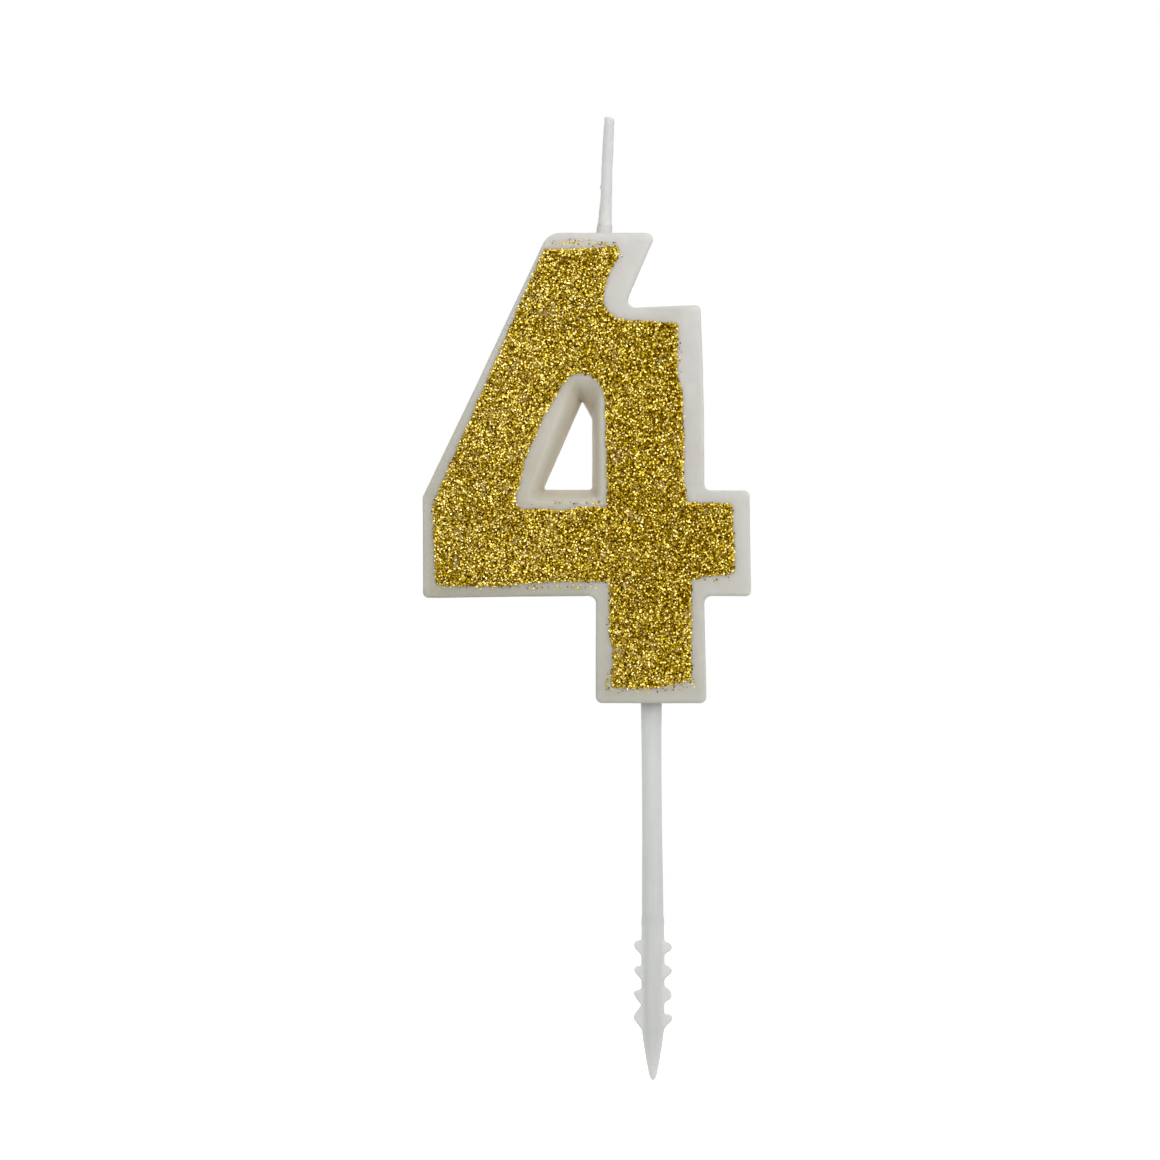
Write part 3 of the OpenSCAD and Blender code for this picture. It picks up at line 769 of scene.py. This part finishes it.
def scatter_top(outer, hole):
    """Upper flakes of the print, at many angles, thinning out at its ragged edge."""
    g = hex_grid(0.252, 0.34)
    d = np.minimum(np.where(inside(outer, g), 1, -1) * distance(outer, g), np.where(inside(hole, g), -1, 1) * distance(hole, g))
    ok = (d > -0.07 + rng.normal(0, 0.05, len(g))) & (rng.random(len(g)) > 0.45 * thin_spots(g))
    g, d = g[ok], d[ok]
    n = len(g)
    r = rng.uniform(0.10, 0.168, n)
    spread = np.where(rng.random(n) < 0.3, 0.42, 0.23)
    tilt = np.stack([rng.normal(0, 1, n) * spread, rng.normal(0, 1, n) * spread, rng.uniform(0, math.pi, n)], 1)
    tilt[:, :2] = np.clip(tilt[:, :2], -0.7, 0.7)
    y = FRONT - 0.07 - 0.13 * np.clip(d / 0.4, 0, 1) - rng.uniform(0, 0.13, n) * np.clip(d / 0.3 + 0.5, 0.3, 1)
    slow = np.array([fbm((x, 5.0, z), 0.12, 2) for x, z in g])
    # painted light: the flakes' shade is raised towards the left and on the foot, where more light catches the print;
    # the rest of the spread is random
    tone = np.clip(rng.normal(0.55, 0.47, n) + 0.10 * slow + 0.09 * np.clip((-8.0 - g[:, 0]) / 15.0, -1, 1) + 0.085 * np.clip((17.0 - g[:, 1]) / 6.0, 0, 1), 0, 1)
    grain = rng.uniform(0, 1, n)
    parts = np.array_split(rng.permutation(n), 4)
    return [flakes("glitter_flakes_" + nm, g[i], y[i], r[i], tilt[i], tone[i], grain[i]) for nm, i in zip("abcd", parts)]


STRAY = [  # x from, x to, z from, z to, how many
    (-15.0, -9.0, 68.35, 69.6, 30), (-13.5, -10.5, 68.6, 69.3, 12), (-9.4, -4.9, 68.2, 68.9, 34), (-15.2, -7.2, 29.75, 30.35, 32), (-20.0, -15.2, 29.4, 29.9, 4),
    (-25.6, -8.0, 17.1, 17.7, 36), (-32.0, -26.0, 17.1, 17.4, 6), (-6.7, -5.7, 1.9, 4.6, 24), (-6.0, 2.4, 1.6, 2.2, 16), (1.4, 5.6, 1.9, 3.0, 26), (5.2, 6.8, 2.4, 3.6, 10),
    (6.2, 6.5, 3.8, 17.5, 5), (4.3, 4.8, 49.2, 54.0, 10), (4.9, 5.2, 34.0, 46.0, 6), (-4.4, -4.1, 66.5, 68.4, 3), (-6.6, -6.2, 4.0, 17.0, 4), (6.3, 12.0, 18.2, 18.9, 10)]


def stray(outer_wax, print_loop):
    pts = np.concatenate([np.stack([rng.uniform(a, b, n), rng.uniform(c, d, n)], 1) for a, b, c, d, n in STRAY])
    d = signed(outer_wax, pts)
    ok = d > 0.35
    pts, d = pts[ok], d[ok]
    sag = np.where(d < EDGE_R, EDGE_R - np.sqrt(np.maximum(EDGE_R ** 2 - (EDGE_R - np.minimum(d, EDGE_R)) ** 2, 0)), 0)
    n = len(pts)
    slope = np.zeros(n)
    for t in np.arange(0.0, 1.2, 0.03):
        over = inside(ring(hole_at(t), 6, counts_for(HOLE_F, 6, 0.6)), pts)
        sag[over], slope[over] = t + 0.03, 0.45
    r = rng.uniform(0.07, 0.14, n)
    tilt = np.stack([rng.normal(0, 0.10, n) + slope, rng.normal(0, 0.10, n), rng.uniform(0, math.pi, n)], 1)
    y = FRONT + sag - 0.02
    tone = np.where(rng.random(n) < 0.3, rng.uniform(0, 0.14, n), rng.uniform(0.36, 0.76, n))
    return flakes("stray_flakes_loose", pts, y, r, tilt, tone, rng.uniform(0, 1, n), thick=0.03)


# ------------------------------------------------------------------ materials
GOLD = [(0.0, (0.078, 0.035, 0.0)), (0.25, (0.262, 0.152, 0.0)), (0.5, (0.576, 0.410, 0.010)), (0.75, (0.895, 0.683, 0.122)), (1.0, (0.94, 0.762, 0.265))]


def gold_material(name, rough, bare=False):
    """Metallised flakes: each has its own shade of gold and its own polish. Where the print is thin the pale glue shows."""
    m, nt, p = material(name)
    tone = node(nt, "ShaderNodeAttribute", attribute_name="tone")
    grain = node(nt, "ShaderNodeAttribute", attribute_name="grain")
    c = ramp(nt, GOLD)
    nt.links.new(tone.outputs["Fac"], c.inputs["Fac"])
    r = node(nt, "ShaderNodeMapRange")
    r.inputs["To Min"].default_value, r.inputs["To Max"].default_value = rough - 0.09, rough + 0.16
    nt.links.new(grain.outputs["Fac"], r.inputs["Value"])
    nt.links.new(r.outputs["Result"], p.inputs["Roughness"])
    p.inputs["Specular Tint"].default_value = (1.0, 0.78, 0.30, 1)
    if bare:
        thin = node(nt, "ShaderNodeAttribute", attribute_name="bare")
        mix = nt.nodes.new("ShaderNodeMix")
        mix.data_type = "RGBA"
        mix.inputs[7].default_value = (0.46, 0.34, 0.16, 1)
        nt.links.new(thin.outputs["Fac"], mix.inputs[0])
        nt.links.new(c.outputs["Color"], mix.inputs[6])
        nt.links.new(mix.outputs[2], p.inputs["Base Color"])
        metal = node(nt, "ShaderNodeMapRange")
        metal.inputs["To Min"].default_value, metal.inputs["To Max"].default_value = 1.0, 0.15
        nt.links.new(thin.outputs["Fac"], metal.inputs["Value"])
        nt.links.new(metal.outputs["Result"], p.inputs["Metallic"])
    else:
        nt.links.new(c.outputs["Color"], p.inputs["Base Color"])
        p.inputs["Metallic"].default_value = 1.0
    return m


def glue_material():
    m, nt, p = material("glue_tinted")
    co = position(nt)
    n1 = node(nt, "ShaderNodeTexNoise", Scale=2600.0, Detail=2.0)
    nt.links.new(co, n1.inputs["Vector"])
    c = ramp(nt, [(0.35, (0.66, 0.58, 0.40)), (0.5, (0.76, 0.69, 0.51)), (0.7, (0.84, 0.78, 0.62))])
    nt.links.new(n1.outputs["Fac"], c.inputs["Fac"])
    nt.links.new(c.outputs["Color"], p.inputs["Base Color"])
    b = node(nt, "ShaderNodeBump", Strength=0.4, Distance=0.0001)
    nt.links.new(n1.outputs["Fac"], b.inputs["Height"])
    nt.links.new(b.outputs["Normal"], p.inputs["Normal"])
    p.inputs["Roughness"].default_value = 0.35
    return m


def pick_material():
    """Milky moulded plastic with faint flow lines along its length."""
    m, nt, p = material("pick_milky")
    co = position(nt)
    mp = node(nt, "ShaderNodeMapping")
    mp.inputs["Scale"].default_value = (1.0, 1.0, 0.12)
    nt.links.new(co, mp.inputs["Vector"])
    flow = node(nt, "ShaderNodeTexNoise", Scale=900.0, Detail=3.0)
    nt.links.new(mp.outputs["Vector"], flow.inputs["Vector"])
    cloud = node(nt, "ShaderNodeTexNoise", Scale=190.0, Detail=3.0)
    nt.links.new(co, cloud.inputs["Vector"])
    c1 = ramp(nt, [(0.3, (0.492, 0.520, 0.515)), (0.5, (0.509, 0.533, 0.530)), (0.72, (0.524, 0.540, 0.539))])
    nt.links.new(cloud.outputs["Fac"], c1.inputs["Fac"])
    c2 = ramp(nt, [(0.35, (0.95, 0.952, 0.95)), (0.65, (1, 1, 1))])
    nt.links.new(flow.outputs["Fac"], c2.inputs["Fac"])
    mix = nt.nodes.new("ShaderNodeMix")
    mix.data_type, mix.blend_type = "RGBA", "MULTIPLY"
    mix.inputs[0].default_value = 1.0
    nt.links.new(c1.outputs["Color"], mix.inputs[6])
    nt.links.new(c2.outputs["Color"], mix.inputs[7])
    # painted shade: the plastic is coloured darker towards the tip, as less light reaches it from below
    along = node(nt, "ShaderNodeSeparateXYZ")
    nt.links.new(co, along.inputs["Vector"])
    t = node(nt, "ShaderNodeMapRange")
    t.inputs["From Min"].default_value, t.inputs["From Max"].default_value = -0.057, -0.01
    nt.links.new(along.outputs["Z"], t.inputs["Value"])
    c3 = ramp(nt, [(0.0, (0.76, 0.75, 0.75)), (0.12, (0.815, 0.812, 0.812)), (1.0, (0.985, 0.985, 0.985))])
    nt.links.new(t.outputs["Result"], c3.inputs["Fac"])
    mix2 = nt.nodes.new("ShaderNodeMix")
    mix2.data_type, mix2.blend_type = "RGBA", "MULTIPLY"
    mix2.inputs[0].default_value = 1.0
    nt.links.new(mix.outputs[2], mix2.inputs[6])
    nt.links.new(c3.outputs["Color"], mix2.inputs[7])
    nt.links.new(mix2.outputs[2], p.inputs["Base Color"])
    r = node(nt, "ShaderNodeMapRange")
    r.inputs["To Min"].default_value, r.inputs["To Max"].default_value = 0.55, 0.7
    nt.links.new(flow.outputs["Fac"], r.inputs["Value"])
    nt.links.new(r.outputs["Result"], p.inputs["Roughness"])
    b = node(nt, "ShaderNodeBump", Strength=0.12, Distance=0.0002)
    nt.links.new(flow.outputs["Fac"], b.inputs["Height"])
    nt.links.new(b.outputs["Normal"], p.inputs["Normal"])
    p.inputs["Subsurface Weight"].default_value = 1.0
    p.inputs["Subsurface Radius"].default_value = (1.0, 1.0, 1.0)
    p.inputs["Subsurface Scale"].default_value = 0.012
    p.inputs["IOR"].default_value = 1.49
    p.inputs["Specular IOR Level"].default_value = 0.15
    return m


# ------------------------------------------------------------------ build
wax_mat = wax_material("wax_paraffin", (0.960, 0.935, 0.875), (0.934, 0.907, 0.839), (0.973, 0.943, 0.877), 0.52, 0.0030, (0.78, 0.88, 1.0),
                       painted_light=((6.95, 0, 5.55), (-0.266, 0.44), (0.53, 0.532, 0.467), (0.845, 0.856, 0.902), (0.855, 0.834, 0.785), (0.965, 0.893, 0.755)))
wick_mat = wax_material("wax_on_wick", (0.745, 0.745, 0.745), (0.716, 0.716, 0.715), (0.756, 0.756, 0.756), 0.56, 0.0040, lit_foot=(0.0714, 0.0755))
seal_mat = wax_material("wax_drop", (0.666, 0.664, 0.644), (0.640, 0.636, 0.614), (0.680, 0.675, 0.655), 0.56, 0.0005, scatter=0.0)
gold = gold_material("gold_flakes", 0.34)
gold_bed = gold_material("gold_under_layer", 0.36, bare=True)

body = wax_body()
body.data.materials.append(wax_mat)
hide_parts("wax_body")
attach(body, "candle")

seal = wick_seal()
seal.data.materials.append(seal_mat)
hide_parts("wick_seal")
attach(seal, "candle")

wk = wick()
wk.data.materials.append(wick_mat)
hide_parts("wick_core_root", "wick_coat_root", "wick_core_tip", "wick_coat_tip")
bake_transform(wk)

pk = pick()
pk.data.materials.append(pick_material())
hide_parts("pick")
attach(pk, "pick")

edge = ragged(PRINT, 0.24, 0.30, 3.0)
edge_hole = ragged(PRINT_HOLE, 0.24, 0.26, 17.0)
film = slab("glue_film_edge", [ragged(inset(PRINT, 0.06), 0.4, 0.25, 3.0), ragged(inset(PRINT_HOLE, -0.06), 0.4, 0.2, 17.0)], FRONT - 0.10, FRONT + 0.02)
film.data.materials.append(glue_material())
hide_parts("glue_film")
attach(film, "candle")

crust = glitter_bed(edge, edge_hole)
tops = scatter_top(edge, edge_hole)
for o in [crust] + tops:
    o.data.materials.append(gold_bed if o is crust else gold)
    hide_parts("glitter_bed")
    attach(o, "candle")

loose = stray(ring(OUTER, 6, counts_for(OUTER, 6, 0.8)), edge)
loose.data.materials.append(gold)
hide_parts("stray_flakes")
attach(loose, "candle")

# ------------------------------------------------------------------ stage
n = 96
floor = new_object("floor", [(400 * math.cos(2 * math.pi * i / n), 400 * math.sin(2 * math.pi * i / n), -57.0) for i in range(n)], [tuple(range(n))], smooth=False, fix=False)
fm, fnt, fp = material("floor_pale")
fp.inputs["Base Color"].default_value = (0.9, 0.9, 0.895, 1)
fp.inputs["Roughness"].default_value = 0.9
fp.inputs["Specular IOR Level"].default_value = 0.1
fp.inputs["Emission Color"].default_value = (1, 1, 1, 1)
fp.inputs["Emission Strength"].default_value = 0.8
floor.data.materials.append(fm)
floor.visible_diffuse = False
floor.visible_glossy = False
floor.visible_transmission = False

world = bpy.data.worlds.new("studio")
bpy.context.scene.world = world
world.use_nodes = True
wnt = world.node_tree
bg = wnt.nodes["Background"]
tc = wnt.nodes.new("ShaderNodeTexCoord")
sep = wnt.nodes.new("ShaderNodeSeparateXYZ")
wnt.links.new(tc.outputs["Generated"], sep.inputs["Vector"])
# soft white surround: a little brighter above and to the right
total = None
for axis, low, high in (("X", 0.15, 0.23), ("Y", 0.17, 0.21), ("Z", 0.15, 0.21)):
    mr = node(wnt, "ShaderNodeMapRange")
    mr.inputs["From Min"].default_value, mr.inputs["From Max"].default_value = -1.0, 1.0
    mr.inputs["To Min"].default_value, mr.inputs["To Max"].default_value = low, high
    wnt.links.new(sep.outputs[axis], mr.inputs["Value"])
    if total is None:
        total = mr.outputs["Result"]
    else:
        add = node(wnt, "ShaderNodeMath", operation="ADD")
        wnt.links.new(total, add.inputs[0])
        wnt.links.new(mr.outputs["Result"], add.inputs[1])
        total = add.outputs[0]
bg.inputs["Color"].default_value = (1.0, 0.982, 0.945, 1)
wnt.links.new(total, bg.inputs["Strength"])
white = wnt.nodes.new("ShaderNodeBackground")
white.inputs["Color"].default_value = (1, 1, 1, 1)
lp = wnt.nodes.new("ShaderNodeLightPath")
mixs = wnt.nodes.new("ShaderNodeMixShader")
wnt.links.new(lp.outputs["Is Camera Ray"], mixs.inputs[0])
wnt.links.new(bg.outputs[0], mixs.inputs[1])
wnt.links.new(white.outputs[0], mixs.inputs[2])
wnt.links.new(mixs.outputs[0], wnt.nodes["World Output"].inputs["Surface"])


def area(name, at, aim, size, watts, colour=(1, 1, 1)):
    l = bpy.data.lights.new(name, "AREA")
    l.shape, l.size, l.size_y = "RECTANGLE", size[0], size[1]
    l.energy, l.color = watts, colour
    o = bpy.data.objects.new(name, l)
    o.location = at
    o.rotation_euler = (Vector(aim) - Vector(at)).to_track_quat("-Z", "Y").to_euler()
    bpy.context.scene.collection.objects.link(o)
    return o


aim = (-0.010, 0, 0.03)
area("key", (0.20, -0.66, 0.28), aim, (0.9, 0.9), 4.4)
area("back", (-0.15, 0.76, 0.02), aim, (0.9, 0.9), 2.6)

cam = bpy.data.cameras.new("camera")
co = bpy.data.objects.new("camera", cam)
bpy.context.scene.collection.objects.link(co)
target = Vector((-0.01072, 0.0, 0.01838))
az, el, dist = math.radians(3.0), math.radians(1.0), 1.25
co.location = target + dist * Vector((math.sin(az) * math.cos(el), -math.cos(az) * math.cos(el), math.sin(el)))
co.rotation_euler = (target - co.location).to_track_quat("-Z", "Y").to_euler()
cam.sensor_fit = "HORIZONTAL"
cam.angle = 2 * math.atan(0.087 / dist)
cam.clip_start, cam.clip_end = 0.05, 20
bpy.context.scene.camera = co

vs = bpy.context.scene.view_settings
vs.view_transform = "Standard"
vs.look = "None"
